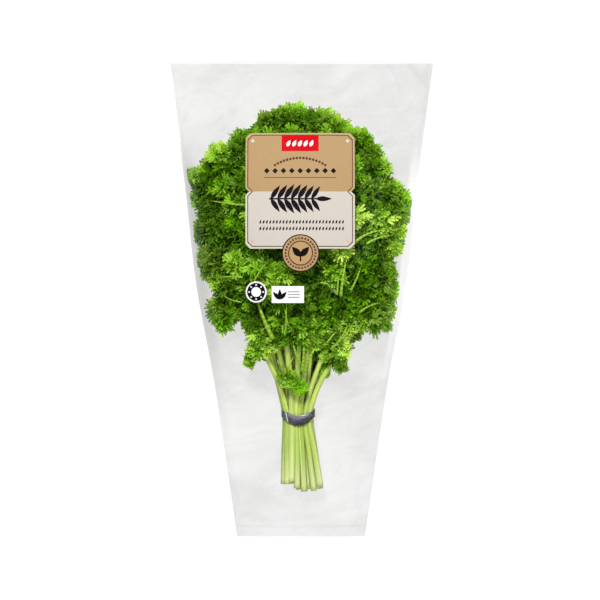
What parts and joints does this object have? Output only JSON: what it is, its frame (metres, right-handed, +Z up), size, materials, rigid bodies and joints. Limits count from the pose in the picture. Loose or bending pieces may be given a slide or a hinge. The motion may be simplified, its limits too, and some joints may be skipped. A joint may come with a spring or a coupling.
{
  "type": "bunch of parsley",
  "caption": "Banded bunch of curly parsley lying in a clear tapered film sleeve that is open at both ends.",
  "frame": {"origin": "on the surface the bunch lies on, under the middle of the sleeve", "axes": "+Z up, +Y along the bunch towards the leafy head and the sleeve's mouth, +X across"},
  "size_m": [0.1906, 0.3403, 0.0645],
  "materials": {
    "leaf": "matte",
    "stem": "satin",
    "clear_film": "gloss",
    "rubber_band": "matte"
  },
  "bodies": {
    "root": {"leaf_01": "leaf", "leaf_02": "leaf", "leaf_03": "leaf", "leaf_04": "leaf", "leaf_05": "leaf", "leaf_06": "leaf", "leaf_07": "leaf", "leaf_08": "leaf", "leaf_09": "leaf", "leaf_10": "leaf", "leaf_11": "leaf", "leaf_12": "leaf", "leaf_13": "leaf", "leaf_14": "leaf", "leaf_15": "leaf", "leaf_16": "leaf", "leaf_17": "leaf", "leaf_18": "leaf", "leaf_19": "leaf", "leaf_20": "leaf", "leaf_21": "leaf", "leaf_22": "leaf", "leaf_23": "leaf", "leaf_24": "leaf", "leaf_25": "leaf", "rubber_band": "rubber_band", "sleeve_back_film": "clear_film", "sleeve_front_film": "clear_film", "sprig_front": "leaf", "sprig_left": "leaf", "sprig_right": "leaf", "stem_01": "stem", "stem_02": "stem", "stem_03": "stem", "stem_04": "stem", "stem_05": "stem", "stem_06": "stem", "stem_07": "stem", "stem_08": "stem", "stem_09": "stem", "stem_10": "stem", "stem_11": "stem", "stem_12": "stem", "stem_13": "stem", "stem_14": "stem", "stem_15": "stem", "stem_16": "stem", "stem_17": "stem", "stem_18": "stem", "stem_19": "stem", "stem_20": "stem", "stem_21": "stem", "stem_22": "stem", "stem_23": "stem", "stem_24": "stem", "stem_25": "stem"}
  },
  "joints": []
}
